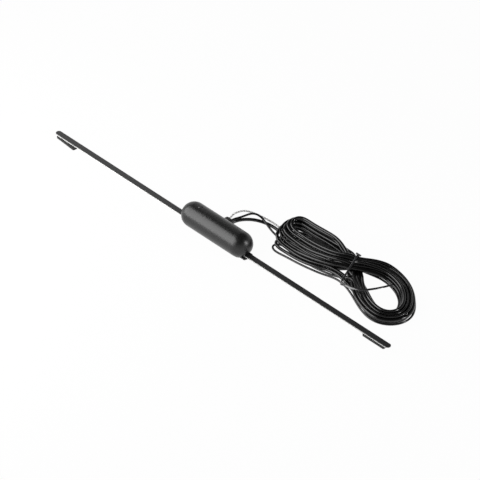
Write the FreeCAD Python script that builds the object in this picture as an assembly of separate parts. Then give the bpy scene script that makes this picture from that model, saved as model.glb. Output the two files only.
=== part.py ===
"""Windscreen car radio antenna: an amplifier pill, two flat aerial strips and leads tied in a hank."""
import FreeCAD, Part
import math
import os
from FreeCAD import Vector

# Driving dimensions in millimetres. The glass is z = 0 and the strips lie along X.
overall_length = 400.0
slip = 0.1

# Housing pill: a cylinder with ball ends, cut flat below.
housing_length = 76.4
housing_diameter = 22.0
housing_axis_height = 9.4
housing_wall = 1.7
adhesive_thickness = 0.8
adhesive_margin = 0.7
tongue_height = 1.5
tongue_thickness = 1.0
tongue_clearance = 0.15
post_diameter = 2.4
post_spacing_x = 16.0
post_spacing_y = 6.4
rib_thickness = 1.2
rib_gap = 0.8
mouth_width = 10.4
sill_width = 9.6
sill_reach = 0.3
gate_pit_place = (-19.7, 1.8)
gate_pit_radius = 0.6
gate_pit_depth = 1.1
gate_stub_place = (-21.1, -0.4)
gate_stub_radius = 0.6
gate_stub_height = 0.3

# Aerial strips, the white tape under them and the pads at their tips.
strip_width = 5.0
strip_thickness = 0.7
tape_width = 4.7
tape_thickness = 1.0
tape_inset = 3.0
end_pad_length = 24.0
end_pad_width = 6.2
end_pad_thickness = 2.0
end_pad_inset = 4.3
left_pad_inset = 3.0
end_pad_corner = 1.2
left_pad_skew = 4.5

# Amplifier board and what is soldered or riveted to it.
board_thickness = 1.5
board_clearance = 0.2
rivet_inset = 1.5
rivet_radius = 1.0
rivet_head_radius = 1.7
rivet_head_thickness = 0.6
strip_past_rivet = 3.5
tape_before_rivet = 3.5
part_gap = 0.4
core_outer_radius = 3.0
core_inner_radius = 1.5
core_height = 3.0
winding_thickness = 0.4
winding_sweep = 240.0
can_radius = 2.0
can_height = 7.0
can_crimp_height = 1.2
can_crimp_depth = 0.25
can_crown = 0.5
drum_radius = 2.0
drum_waist_radius = 1.1
drum_height = 4.0
drum_flange = 0.8
transistor_size = (2.9, 1.5, 1.1)
transistor_leg_size = (0.5, 0.7, 0.3)
transistor_leg_pitch = 1.0
transistor_places = ((-6.5, -2.6), (3.0, -2.6))
chip_capacitor_size = (2.0, 1.25, 0.9)
chip_capacitor_places = ((-2.6, -2.6), (-8.0, 0.6), (6.4, -0.4))
chip_resistor_size = (2.0, 1.25, 0.5)
chip_resistor_places = ((-2.6, -0.4), (0.2, -0.6), (6.4, -2.8), (5.8, 2.6))

# Cable grommet in the long side and the leads that come out of it.
grommet_x = -1.0
grommet_reach = 15.6
grommet_root_width = 11.4
grommet_root_height = 8.4
grommet_end_width = 9.8
grommet_end_height = 6.4
grommet_neck_width = 9.0
grommet_neck_height = 5.0
grommet_flange_lip = 0.8
grommet_flange_thickness = 1.2
grommet_edge_round = 0.8
coax_diameter = 2.8
power_lead_diameter = 1.8
ground_lead_diameter = 1.5
coax_offset = 3.0
power_offset = 0.0
ground_offset = -3.2
core_lead_diameter = 1.4
power_core_diameter = 0.9
ground_core_diameter = 0.7
lead_landing_y = 2.4
ferrule_wall = 0.4
ferrule_height = 1.6

# Plug on the coax, lying in the open left lobe of the hank: cable end, then nose.
plug_cable_end = Vector(100.0, 48.6, 5.9)
plug_heading = Vector(-50.0, -1.0, 0.0)
plug_clearance = 0.15
grip_length = 26.0
grip_radius = 4.5
shroud_length = 13.0
shroud_wall = 0.8
grip_tail_length = 8.0
grip_tail_radius = 2.4
grip_groove_depth = 0.4
grip_groove_width = 1.0
grip_groove_pitch = 2.4
grip_groove_count = 4
barrel_length = 12.0
barrel_radius = 3.6
barrel_wall = 0.6
barrel_shoulder = 4.0
barrel_mouth_radius = 3.4
insulator_length = 6.0
pin_radius = 1.6
pin_recess = 1.5

# Routes of the free leads from the grommet to the hank, as points that the rounded runs pass near, and
# the share of the shorter run that each arc takes.
arc_share = 0.45
coax_route = [(2.0, 15.6, 9.4), (2.0, 17.4, 9.4), (3.5, 21.2, 9.8), (6.6, 26.6, 9.6), (10.4, 32.0, 8.4),
              (15.6, 36.0, 7.2), (21.4, 38.4, 6.2), (27.0, 39.2, 5.6), (32.4, 39.2, 5.2), (37.4, 38.6, 5.0)]
power_route = [(-1.0, 15.6, 9.4), (-1.0, 17.4, 9.4), (0.2, 20.6, 9.9), (2.6, 24.2, 10.7),
               (5.0, 28.0, 12.2), (7.8, 31.6, 13.7), (10.8, 34.3, 13.2), (14.0, 35.8, 11.6),
               (17.6, 36.0, 10.0), (21.6, 35.3, 8.5), (26.0, 34.5, 7.0), (30.6, 34.0, 5.6), (35.0, 33.8, 4.6)]
ground_route = [(-4.2, 15.6, 9.4), (-4.2, 17.2, 9.4), (-3.8, 18.8, 10.0), (-3.4, 20.0, 11.2),
                (-3.0, 21.1, 12.3), (-2.5, 22.6, 12.9), (-1.7, 24.6, 13.3), (-0.7, 27.5, 13.5),
                (0.9, 30.5, 13.1), (2.8, 33.2, 12.2), (5.6, 36.0, 10.6), (10.6, 39.2, 8.6),
                (16.4, 41.2, 7.3), (22.6, 42.1, 6.6), (28.4, 42.2, 6.0), (34.0, 41.8, 5.8)]

# Hank: cross sections, each with its x, front y, rear y, underside, front top and rear top. The outlines
# of the open loop on the right are points in plan.
hank_sections = [(31.5, 31.5, 44.0, 2.6, 8.0, 13.0), (38.0, 24.5, 54.0, 0.0, 5.0, 18.5),
                 (62.0, 21.0, 60.0, 0.0, 5.5, 18.5), (92.0, 25.0, 58.5, 0.0, 6.5, 15.0),
                 (108.0, 30.0, 56.0, 1.2, 6.0, 13.8), (122.0, 30.0, 56.0, 1.2, 6.0, 13.8),
                 (130.0, 27.0, 66.0, 0.0, 5.4, 5.4)]
hank_corner = 1.6
lobe_past_tie = 2.0
lobe_height = 5.4
lobe_edge_round = 1.8
lobe_outer = [(112.0, 61.0), (124.0, 71.5), (138.0, 74.0), (154.0, 70.5), (170.0, 60.0), (182.0, 46.0),
              (186.5, 33.0), (182.0, 21.0), (168.0, 14.8), (152.0, 17.5), (134.0, 25.0), (114.0, 32.0)]
lobe_hole = [(119.5, 49.5), (130.0, 54.0), (143.0, 56.2), (155.5, 53.2), (165.0, 46.0), (170.0, 38.0),
             (168.0, 33.0), (161.0, 32.2), (148.0, 36.0), (133.0, 42.6)]
tie_place = 112.5
tie_slant = 17.0
tie_thickness = 1.1
tie_knot_radius = 1.3
tie_knot_length = 5.0
tie_tail = [(120.6, 29.4, 4.2), (126.0, 27.2, 6.2), (132.0, 26.6, 7.4), (139.0, 29.2, 7.8),
            (145.0, 34.0, 7.6), (150.0, 42.0, 7.0), (153.5, 51.7, 6.4)]

# Levels and radii that follow from the sizes above.
end_centre = (housing_length - housing_diameter) / 2
outer_radius = housing_diameter / 2
inner_radius = outer_radius - housing_wall
tray_floor = end_pad_thickness
strip_bottom = end_pad_thickness + tape_thickness
strip_top = strip_bottom + strip_thickness
board_top = strip_top + board_thickness
parting_height = strip_top + slip
housing_top = housing_axis_height + outer_radius
rivet_x = end_centre - rivet_inset
rib_x = rivet_x - rivet_head_radius - rib_gap - rib_thickness / 2
rib_inner_face = rib_x - rib_thickness / 2
X_AXIS = Vector(1, 0, 0)
Z_AXIS = Vector(0, 0, 1)
ORIGIN = Vector(0, 0, 0)


def half_width(radius, height):
    """Half width of a pill of this radius at a height above the glass."""
    return math.sqrt(radius ** 2 - (height - housing_axis_height) ** 2)


tongue_outer = half_width(inner_radius, parting_height) - tongue_clearance
tongue_inner = tongue_outer - tongue_thickness
board_radius = tongue_inner - board_clearance


def capsule(radius):
    """Pill solid about the housing's axis, by revolving half of its outline."""
    tip = end_centre + radius
    slant = radius * math.sqrt(0.5)
    left_shoulder = Vector(-end_centre, radius, 0)
    right_shoulder = Vector(end_centre, radius, 0)
    start = Part.Arc(Vector(-tip, 0, 0), Vector(-end_centre - slant, slant, 0), left_shoulder)
    side = Part.LineSegment(left_shoulder, right_shoulder)
    end = Part.Arc(right_shoulder, Vector(end_centre + slant, slant, 0), Vector(tip, 0, 0))
    axis = Part.LineSegment(Vector(tip, 0, 0), Vector(-tip, 0, 0))
    outline = Part.Wire([curve.toShape() for curve in (start, side, end, axis)])
    pill = Part.Face(outline).revolve(ORIGIN, X_AXIS, 360)
    pill.translate(Vector(0, 0, housing_axis_height))
    return pill


def slab(shape, low, high):
    """The part of a shape between two heights."""
    box = Part.makeBox(2 * overall_length, 2 * overall_length, high - low,
                       Vector(-overall_length, -overall_length, low))
    return shape.common(box)


def oblong_wire(length, width):
    """Closed outline in XY with straight sides and half-round ends, centred on the origin."""
    radius = width / 2
    run = length / 2 - radius
    front = Part.LineSegment(Vector(-run, -radius, 0), Vector(run, -radius, 0))
    right = Part.Arc(Vector(run, -radius, 0), Vector(run + radius, 0, 0), Vector(run, radius, 0))
    back = Part.LineSegment(Vector(run, radius, 0), Vector(-run, radius, 0))
    left = Part.Arc(Vector(-run, radius, 0), Vector(-run - radius, 0, 0), Vector(-run, -radius, 0))
    return Part.Wire([curve.toShape() for curve in (front, right, back, left)])


def stadium(radius, low, high):
    """Plate with the pill's plan outline at a smaller radius, between two heights."""
    face = Part.Face(oblong_wire(2 * (end_centre + radius), 2 * radius))
    face.translate(Vector(0, 0, low))
    return face.extrude(Vector(0, 0, high - low))


def side_oblong(width, height, y):
    """Oblong outline standing in the XZ plane at the grommet's place, a distance y from the axis."""
    wire = oblong_wire(width, height)
    wire.rotate(ORIGIN, X_AXIS, 90)
    wire.translate(Vector(grommet_x, y, housing_axis_height))
    return wire


def side_prism(width, height, y_low, y_high):
    """Oblong bar along Y at the grommet's place."""
    return Part.Face(side_oblong(width, height, y_low)).extrude(Vector(0, y_high - y_low, 0))


def disc(radius, height, x, y, low):
    return Part.makeCylinder(radius, height, Vector(x, y, low))


def block(size, x, y, low):
    """Box of a given size standing on a height, centred on x and y."""
    return Part.makeBox(*size, Vector(x - size[0] / 2, y - size[1] / 2, low))


def turned(profile, base=ORIGIN, heading=Z_AXIS, sweep=360):
    """Solid of revolution from (radius, along) points, set on a base point along a heading."""
    points = [Vector(radius, 0, along) for radius, along in profile]
    solid = Part.Face(Part.makePolygon(points + points[:1])).revolve(ORIGIN, Z_AXIS, sweep)
    solid.Placement = FreeCAD.Placement(base, FreeCAD.Rotation(Z_AXIS, heading))
    return solid


def mirrored(shape):
    return shape.mirror(ORIGIN, X_AXIS)


def rounded_path(points):
    """Straight runs joined by the largest tangent arcs they allow, with the arcs' radii."""
    points = [Vector(*point) for point in points]
    edges = []
    radii = []
    start = points[0]
    for before, corner, after in zip(points, points[1:], points[2:]):
        back = before - corner
        ahead = after - corner
        reach = arc_share * min(back.Length, ahead.Length)
        back.normalize()
        ahead.normalize()
        half_turn = (math.pi - back.getAngle(ahead)) / 2
        radius = reach / math.tan(half_turn)
        bisector = back + ahead
        bisector.normalize()
        middle = corner + bisector * (radius / math.cos(half_turn) - radius)
        entry = corner + back * reach
        leave = corner + ahead * reach
        edges.append(Part.LineSegment(start, entry).toShape())
        edges.append(Part.Arc(entry, middle, leave).toShape())
        radii.append(radius)
        start = leave
    edges.append(Part.LineSegment(start, points[-1]).toShape())
    return Part.Wire(edges), radii


def cord_tube(name, points, diameter):
    """Round tube along a rounded path; prints its radii and how its volume compares with its length."""
    path, radii = rounded_path(points)
    heading = Vector(*points[1]) - Vector(*points[0])
    ring = Part.Wire([Part.makeCircle(diameter / 2, Vector(*points[0]), heading)])
    tube = path.makePipeShell([ring], True, False)
    share = tube.Volume / (math.pi * diameter ** 2 / 4 * path.Length)
    print(f"{name}: {path.Length:.1f} mm, least radius {min(radii):.1f} mm, volume share {share:.4f}")
    print("  radii", " ".join(f"{radius:.1f}" for radius in radii))
    return tube


def strip_mouth():
    """Opening outside the tongue at one end, where the strip and its tape pass the wall."""
    top = parting_height + tongue_height
    opening = Part.makeBox(housing_length, mouth_width, top - tray_floor,
                           Vector(end_centre, -mouth_width / 2, tray_floor))
    return opening.cut(stadium(tongue_outer, tray_floor, top))


def crown_height(y):
    return housing_axis_height + math.sqrt(outer_radius ** 2 - y ** 2)


def housing_base():
    """Shallow tray: flat floor on the adhesive, tongue inside the cover, notches and sills for the strips."""
    tongue_top = parting_height + tongue_height
    tray = slab(capsule(outer_radius), adhesive_thickness, parting_height)
    mouth = strip_mouth()
    tray = tray.cut(mouth).cut(mirrored(mouth))
    sill = stadium(outer_radius + sill_reach, adhesive_thickness, tray_floor)
    sill = sill.common(Part.makeBox(housing_length, sill_width, tray_floor, Vector(end_centre, -sill_width / 2, 0)))
    tray = tray.fuse([sill, mirrored(sill)])
    tray = tray.fuse(stadium(tongue_outer, tray_floor, tongue_top))
    tray = tray.cut(stadium(tongue_inner, tray_floor, tongue_top))
    notch_length = outer_radius + slip
    notch = Part.makeBox(notch_length, strip_width + 2 * slip, tongue_top - tray_floor,
                         Vector(end_centre, -strip_width / 2 - slip, tray_floor))
    tray = tray.cut(notch).cut(mirrored(notch))
    for x in (-post_spacing_x / 2, post_spacing_x / 2):
        for y in (-post_spacing_y / 2, post_spacing_y / 2):
            tray = tray.fuse(disc(post_diameter / 2, strip_top - tray_floor, x, y, tray_floor))
    return tray


def housing_cover():
    """Upper shell with two ribs over the board, the grommet's hole, the strips' mouths and the gate's marks."""
    cavity = capsule(inner_radius)
    shell = slab(capsule(outer_radius).cut(cavity), parting_height, housing_top)
    rib_bottom = board_top + slip
    for x in (-rib_x, rib_x):
        rib = Part.makeBox(rib_thickness, housing_diameter, housing_top - rib_bottom,
                           Vector(x - rib_thickness / 2, -outer_radius, rib_bottom))
        shell = shell.fuse(rib.common(cavity))
    shell = shell.cut(side_prism(grommet_neck_width + 2 * slip, grommet_neck_height + 2 * slip,
                                 0, outer_radius + slip))
    mouth = strip_mouth()
    shell = shell.cut(mouth).cut(mirrored(mouth))
    pit_x, pit_y = gate_pit_place
    pit_floor = crown_height(pit_y) - gate_pit_depth
    shell = shell.cut(disc(gate_pit_radius, housing_top - pit_floor, pit_x, pit_y, pit_floor))
    stub_x, stub_y = gate_stub_place
    stub_centre = Vector(stub_x, stub_y, crown_height(stub_y) + gate_stub_height - gate_stub_radius)
    return shell.fuse(Part.makeSphere(gate_stub_radius, stub_centre))


def base_adhesive_pad():
    radius = half_width(outer_radius, adhesive_thickness) - adhesive_margin
    return stadium(radius, 0, adhesive_thickness)


def right_strip():
    """Flat aerial strip with a half-round tip, its inner end riveted under the board."""
    inner_end = rivet_x - strip_past_rivet
    tip_centre = overall_length / 2 - strip_width / 2
    bar = Part.makeBox(tip_centre - inner_end, strip_width, strip_thickness,
                       Vector(inner_end, -strip_width / 2, strip_bottom))
    bar = bar.fuse(disc(strip_width / 2, strip_thickness, tip_centre, 0, strip_bottom)).removeSplitter()
    return bar.cut(disc(rivet_radius + slip / 2, strip_thickness, rivet_x, 0, strip_bottom))


def right_strip_tape():
    inner_end = rivet_x + tape_before_rivet
    outer_end = overall_length / 2 - tape_inset
    return Part.makeBox(outer_end - inner_end, tape_width, tape_thickness,
                        Vector(inner_end, -tape_width / 2, tray_floor))


def end_pad(inset):
    """Cushion pad under the right strip's tip, with rounded upright corners."""
    outer_end = overall_length / 2 - inset
    pad = Part.makeBox(end_pad_length, end_pad_width, end_pad_thickness,
                       Vector(outer_end - end_pad_length, -end_pad_width / 2, 0))
    upright = [edge for edge in pad.Edges if edge.BoundBox.ZLength > end_pad_thickness / 2]
    return pad.makeFillet(end_pad_corner, upright)


def left_end_pad():
    """The other pad, stuck on a little askew about its outer end."""
    pad = mirrored(end_pad(left_pad_inset))
    pad.rotate(Vector(left_pad_inset - overall_length / 2, 0, 0), Z_AXIS, -left_pad_skew)
    return pad


def circuit_board():
    board = stadium(board_radius, strip_top, board_top)
    for x in (-rivet_x, rivet_x):
        board = board.cut(disc(rivet_radius + slip / 2, board_thickness, x, 0, strip_top))
    return board


def strip_rivets():
    """Two rivets, headed at both ends, that join the strips to the board."""
    low = strip_bottom - rivet_head_thickness
    high = board_top + rivet_head_thickness
    profile = [(0, low), (rivet_head_radius, low), (rivet_head_radius, strip_bottom),
               (rivet_radius, strip_bottom), (rivet_radius, board_top), (rivet_head_radius, board_top),
               (rivet_head_radius, high), (0, high)]
    return Part.Compound([turned(profile, Vector(x, 0, 0)) for x in (-rivet_x, rivet_x)])


transformer_x = part_gap + core_outer_radius + winding_thickness - rib_inner_face
can_x = rib_inner_face - part_gap - can_radius
choke_x = can_x - can_radius - part_gap - drum_radius


def transformer_core():
    low = board_top + winding_thickness
    profile = [(core_inner_radius, low), (core_outer_radius, low),
               (core_outer_radius, low + core_height), (core_inner_radius, low + core_height)]
    return turned(profile, Vector(transformer_x, 0, 0))


def transformer_winding():
    """Copper wound round part of the ring core, which stands on it."""
    inner = core_inner_radius - winding_thickness
    outer = core_outer_radius + winding_thickness
    high = board_top + core_height + 2 * winding_thickness
    wrap = [(inner, board_top), (outer, board_top), (outer, high), (inner, high)]
    return turned(wrap, Vector(transformer_x, 0, 0), sweep=winding_sweep).cut(transformer_core())


def electrolytic_capacitor():
    crimp_radius = can_radius - can_crimp_depth
    profile = [(0, 0), (can_radius, 0), (can_radius, can_crimp_height),
               (crimp_radius, can_crimp_height + can_crimp_depth),
               (crimp_radius, can_crimp_height + 2 * can_crimp_depth),
               (can_radius, can_crimp_height + 3 * can_crimp_depth), (can_radius, can_height - can_crown),
               (can_radius - can_crown, can_height), (0, can_height)]
    return turned(profile, Vector(can_x, 0, board_top))


def choke_core():
    """Drum of ferrite with a flange at each end."""
    upper = drum_height - drum_flange
    profile = [(0, 0), (drum_radius, 0), (drum_radius, drum_flange), (drum_waist_radius, drum_flange),
               (drum_waist_radius, upper), (drum_radius, upper), (drum_radius, drum_height), (0, drum_height)]
    return turned(profile, Vector(choke_x, 0, board_top))


def choke_winding():
    upper = drum_height - drum_flange
    wound_radius = drum_radius - slip
    profile = [(drum_waist_radius, drum_flange), (wound_radius, drum_flange),
               (wound_radius, upper), (drum_waist_radius, upper)]
    return turned(profile, Vector(choke_x, 0, board_top))


def amplifier_transistors():
    """Two moulded transistors, each with two legs on one side and one on the other."""
    bodies = []
    for x, y in transistor_places:
        body = block(transistor_size, x, y, board_top)
        leg_out = (transistor_size[1] + transistor_leg_size[1]) / 2
        for along, side in ((-1, -1), (1, -1), (0, 1)):
            leg_x = x + along * transistor_leg_pitch
            body = body.fuse(block(transistor_leg_size, leg_x, y + side * leg_out, board_top))
        bodies.append(body)
    return Part.Compound(bodies)


def chip_capacitors():
    return Part.Compound([block(chip_capacitor_size, x, y, board_top) for x, y in chip_capacitor_places])


def chip_resistors():
    return Part.Compound([block(chip_resistor_size, x, y, board_top) for x, y in chip_resistor_places])


flange_height = grommet_neck_height + 2 * grommet_flange_lip
flange_face = half_width(inner_radius, housing_axis_height + flange_height / 2) - grommet_flange_thickness


def cable_grommet():
    """Tapered strain relief with a neck in the cover's hole and a flange behind the wall."""
    outside = capsule(outer_radius)
    inside = capsule(inner_radius)
    boss = Part.makeLoft([side_oblong(grommet_root_width, grommet_root_height, 0),
                          side_oblong(grommet_end_width, grommet_end_height, grommet_reach)], True)
    outer_edges = [edge for edge in boss.Edges if edge.BoundBox.YMin > grommet_reach - slip]
    boss = boss.makeFillet(grommet_edge_round, outer_edges).cut(outside)
    neck = side_prism(grommet_neck_width, grommet_neck_height, flange_face, outer_radius)
    neck = neck.common(outside).cut(inside)
    flange = side_prism(grommet_neck_width + 2 * grommet_flange_lip, flange_height, flange_face, outer_radius)
    return boss.fuse([neck, flange.common(inside)])


def inner_lead_ends():
    """Stripped ends of the three leads, from the grommet's flange down to the board."""
    ends = []
    for offset, diameter in ((coax_offset, core_lead_diameter), (power_offset, power_core_diameter),
                             (ground_offset, ground_core_diameter)):
        x = grommet_x + offset
        points = [(x, flange_face, housing_axis_height), (x, lead_landing_y, housing_axis_height),
                  (x, lead_landing_y, board_top)]
        ends.append(cord_tube("inner lead", points, diameter))
    return Part.Compound(ends)


def coax_ferrule():
    """Soldered collar round the coax's end on the board."""
    bore = core_lead_diameter / 2 + slip / 2
    outer = bore + ferrule_wall
    profile = [(bore, 0), (outer, 0), (outer, ferrule_height), (bore, ferrule_height)]
    return turned(profile, Vector(grommet_x + coax_offset, lead_landing_y, board_top))


def plug_point(along):
    return plug_cable_end + Vector(plug_heading).normalize() * along


def plug_grip():
    """Moulded handle: a taper over the cable, finger grooves, then a shroud round the plated sleeve."""
    profile = [(0, 0), (grip_tail_radius, 0), (grip_radius, grip_tail_length)]
    groove_start = grip_tail_length + 2 * grip_groove_width
    for number in range(grip_groove_count):
        low = groove_start + number * grip_groove_pitch
        high = low + grip_groove_width
        floor = grip_radius - grip_groove_depth
        profile += [(grip_radius, low), (floor, low), (floor, high), (grip_radius, high)]
    mouth = grip_length + shroud_length
    bore = grip_radius - shroud_wall
    profile += [(grip_radius, mouth), (bore, mouth), (bore, grip_length), (0, grip_length)]
    return turned(profile, plug_point(0), plug_heading)


def plug_barrel():
    """Plated sleeve that goes into the radio's socket, open at its mouth."""
    bore = barrel_radius - barrel_wall
    profile = [(bore, 0), (barrel_radius, 0), (barrel_radius, barrel_shoulder),
               (barrel_mouth_radius, barrel_length), (barrel_mouth_radius - barrel_wall, barrel_length),
               (bore, barrel_shoulder)]
    return turned(profile, plug_point(grip_length), plug_heading)


def plug_insulator():
    bore = barrel_radius - barrel_wall
    taper = (barrel_radius - barrel_mouth_radius) / (barrel_length - barrel_shoulder)
    end_radius = bore - taper * (insulator_length - barrel_shoulder)
    profile = [(pin_radius, 0), (bore, 0), (bore, barrel_shoulder), (end_radius, insulator_length),
               (pin_radius, insulator_length)]
    return turned(profile, plug_point(grip_length), plug_heading)


def plug_pin():
    """Centre pin with a blunt cone at its tip."""
    tip = barrel_length - pin_recess
    profile = [(0, 0), (pin_radius, 0), (pin_radius, tip - pin_radius), (pin_radius / 2, tip), (0, tip)]
    return turned(profile, plug_point(grip_length), plug_heading)


def hank_section(x, front, rear, low, front_top, rear_top, grow=0.0):
    """Eight-sided outline across the hank: a four-sided shape with its corners cut off."""
    corners = [Vector(x, front - grow, low - grow), Vector(x, rear + grow, low - grow),
               Vector(x, rear + grow, rear_top + grow), Vector(x, front - grow, front_top + grow)]
    points = []
    for index, corner in enumerate(corners):
        for neighbour in (corners[index - 1], corners[(index + 1) % len(corners)]):
            points.append(corner + (neighbour - corner).normalize() * hank_corner)
    return Part.makePolygon(points + points[:1])


tied_section = [section[1:] for section in hank_sections if section[0] < tie_place][-1]
tie_pivot = Vector(tie_place, tied_section[1], 0)


def closed_curve(points):
    """Smooth closed outline in XY through the points."""
    curve = Part.BSplineCurve()
    curve.interpolate([Vector(x, y, 0) for x, y in points], PeriodicFlag=True)
    return Part.Wire([curve.toShape()])


def cable_hank():
    """Outer shape of the wound leads: a leaning left lobe, a tied middle and an open loop on the right."""
    lobe = Part.Face(closed_curve(lobe_outer)).extrude(Vector(0, 0, lobe_height))
    rims = [edge for edge in lobe.Edges if edge.BoundBox.ZLength < slip]
    lobe = lobe.makeFillet(lobe_edge_round, rims)
    past_tie = Part.makeBox(overall_length, overall_length, lobe_height,
                            Vector(tie_place + lobe_past_tie, -overall_length / 2, 0))
    past_tie.rotate(tie_pivot, Z_AXIS, tie_slant)
    lobe = lobe.common(past_tie)
    bundle = Part.makeLoft([hank_section(*section) for section in hank_sections], True, True)
    hole = Part.Face(closed_curve(lobe_hole)).extrude(Vector(0, 0, housing_top))
    seat_length = grip_length + shroud_length + 2 * plug_clearance
    seat_radius = grip_radius + plug_clearance
    seat = Part.makeCylinder(seat_radius, seat_length, plug_point(-plug_clearance), plug_heading)
    opening = Part.makeBox(seat_length, 2 * seat_radius, housing_top, Vector(0, -seat_radius, 0))
    opening.Placement = FreeCAD.Placement(plug_point(-plug_clearance), FreeCAD.Rotation(X_AXIS, plug_heading))
    return bundle.fuse(lobe).cut(hole).cut(seat).cut(opening)


def hank_tie(hank):
    """Wire tie slanted round the hank's middle, twisted at the back, with one long tail over the open loop."""
    front, rear, low, front_top, rear_top = tied_section
    far_front = rear - (rear - front) / math.cos(math.radians(tie_slant))
    across = (tie_place - tie_thickness / 2, far_front, rear, low, front_top, rear_top)
    outline = Part.Face(hank_section(*across, grow=tie_thickness))
    band = outline.cut(Part.Face(hank_section(*across))).extrude(Vector(tie_thickness, 0, 0))
    band.rotate(tie_pivot, Z_AXIS, tie_slant)
    half_tie = tie_thickness / 2
    knot_start = Vector(tie_place - tie_knot_length / 2, rear + half_tie, rear_top + half_tie)
    knot = Part.makeCylinder(tie_knot_radius, tie_knot_length, knot_start, X_AXIS)
    return band.fuse([knot, cord_tube("tie tail", tie_tail, tie_thickness)]).cut(hank)


def main():
    os.makedirs("parts", exist_ok=True)
    strip = right_strip()
    tape = right_strip_tape()
    hank = cable_hank()
    nodes = {
        "housing_cover": housing_cover(),
        "housing_base": housing_base(),
        "base_adhesive_pad": base_adhesive_pad(),
        "left_strip": mirrored(strip),
        "right_strip": strip,
        "left_strip_tape": mirrored(tape),
        "right_strip_tape": tape,
        "left_end_pad": left_end_pad(),
        "right_end_pad": end_pad(end_pad_inset),
        "circuit_board": circuit_board(),
        "strip_rivets": strip_rivets(),
        "transformer_core": transformer_core(),
        "transformer_winding": transformer_winding(),
        "electrolytic_capacitor": electrolytic_capacitor(),
        "choke_core": choke_core(),
        "choke_winding": choke_winding(),
        "amplifier_transistors": amplifier_transistors(),
        "chip_capacitors": chip_capacitors(),
        "chip_resistors": chip_resistors(),
        "inner_lead_ends": inner_lead_ends(),
        "coax_ferrule": coax_ferrule(),
        "cable_grommet": cable_grommet(),
        "plug_grip": plug_grip(),
        "plug_barrel": plug_barrel(),
        "plug_insulator": plug_insulator(),
        "plug_pin": plug_pin(),
        "cable_hank": hank,
        "hank_tie": hank_tie(hank),
        "coax_run": cord_tube("coax", coax_route, coax_diameter).cut(hank),
        "power_lead_run": cord_tube("power lead", power_route, power_lead_diameter).cut(hank),
        "ground_lead_run": cord_tube("ground lead", ground_route, ground_lead_diameter).cut(hank),
    }
    for name, shape in nodes.items():
        print(f"{name}: {len(shape.Solids)} solid, valid {shape.isValid()}, {shape.Volume:.1f} mm3")
        shape.exportStep(f"parts/{name}.step")


main()
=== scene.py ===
import math

import bpy
import numpy as np
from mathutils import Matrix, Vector


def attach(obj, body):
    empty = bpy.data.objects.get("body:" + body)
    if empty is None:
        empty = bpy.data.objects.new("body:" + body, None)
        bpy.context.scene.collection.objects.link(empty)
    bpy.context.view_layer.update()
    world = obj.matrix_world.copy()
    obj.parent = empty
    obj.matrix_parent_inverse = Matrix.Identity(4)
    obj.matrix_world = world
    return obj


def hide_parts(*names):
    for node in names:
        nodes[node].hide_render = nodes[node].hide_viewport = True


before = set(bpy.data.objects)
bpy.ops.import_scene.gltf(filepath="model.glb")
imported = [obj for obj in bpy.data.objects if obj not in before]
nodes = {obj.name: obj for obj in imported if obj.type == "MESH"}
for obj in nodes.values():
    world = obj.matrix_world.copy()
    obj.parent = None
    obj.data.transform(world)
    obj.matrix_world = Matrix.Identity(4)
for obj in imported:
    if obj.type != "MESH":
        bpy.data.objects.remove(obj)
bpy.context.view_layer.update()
mm = 0.001


# Amplifier housing: a pill moulded in two halves from black ABS, with a spark-eroded satin skin.
# The cover carries a gate pit on its crown, painted black as painted shade, and beside it the runner's stub,
# which is a pale dot of painted highlight. The base is shallow, and the strips leave it by its end slots.


class Field:
    """A value that varies over a surface: arithmetic on it adds Math nodes to its finish."""

    def __init__(self, finish, socket):
        self.finish = finish
        self.socket = socket

    def math(self, operation, first, second):
        return self.finish.node("ShaderNodeMath", {"operation": operation}, {0: first, 1: second})

    def __add__(self, other):
        return self.math("ADD", self, other)

    def __radd__(self, other):
        return self.math("ADD", other, self)

    def __sub__(self, other):
        return self.math("SUBTRACT", self, other)

    def __rsub__(self, other):
        return self.math("SUBTRACT", other, self)

    def __mul__(self, other):
        return self.math("MULTIPLY", self, other)

    def __rmul__(self, other):
        return self.math("MULTIPLY", other, self)

    def __lt__(self, other):
        return self.math("LESS_THAN", self, other)


class Finish:
    """One material: its constants go on the shader's own sockets, and node() adds any other node."""

    def __init__(self, name, colour, roughness, constants=()):
        self.material = bpy.data.materials.new(name)
        self.material.use_nodes = True
        self.tree = self.material.node_tree
        self.shader = self.tree.nodes["Principled BSDF"]
        self.wear({"Base Color": (*colour, 1.0), "Roughness": roughness, **dict(constants)})

    def plug(self, node, sockets):
        for key, value in sockets.items():
            if isinstance(value, Field):
                self.tree.links.new(value.socket, node.inputs[key])
            else:
                node.inputs[key].default_value = value

    def node(self, kind, settings, sockets, output=0):
        """A new node: its settings come first, then its sockets' values or links. Gives one output."""
        node = self.tree.nodes.new(kind)
        for key, value in settings.items():
            setattr(node, key, value)
        self.plug(node, sockets)
        return Field(self, node.outputs[output])

    def wear(self, sockets):
        self.plug(self.shader, sockets)

    def place(self, output="Object"):
        return self.node("ShaderNodeTexCoord", {}, {}, output)

    def stretched(self, vector, scale):
        return self.node("ShaderNodeMapping", {}, {"Vector": vector, "Scale": scale})

    def noise(self, vector, scale, detail):
        return self.node("ShaderNodeTexNoise", {}, {"Vector": vector, "Scale": scale, "Detail": detail})

    def cells(self, vector, scale):
        return self.node("ShaderNodeTexVoronoi", {}, {"Vector": vector, "Scale": scale}, "Distance")

    def mixed(self, factor, first, second):
        """Two colours, or fields of colour, mixed by a factor."""
        ends = [colour if isinstance(colour, Field) else (*colour, 1.0) for colour in (first, second)]
        return self.node("ShaderNodeMix", {"data_type": "RGBA"}, {0: factor, 6: ends[0], 7: ends[1]}, 2)

    def relief(self, height, depth, strength):
        """Bump of this depth in metres from a height between 0 and 1."""
        self.wear({"Normal": self.node("ShaderNodeBump", {},
                                       {"Height": height, "Distance": depth, "Strength": strength})})


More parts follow.
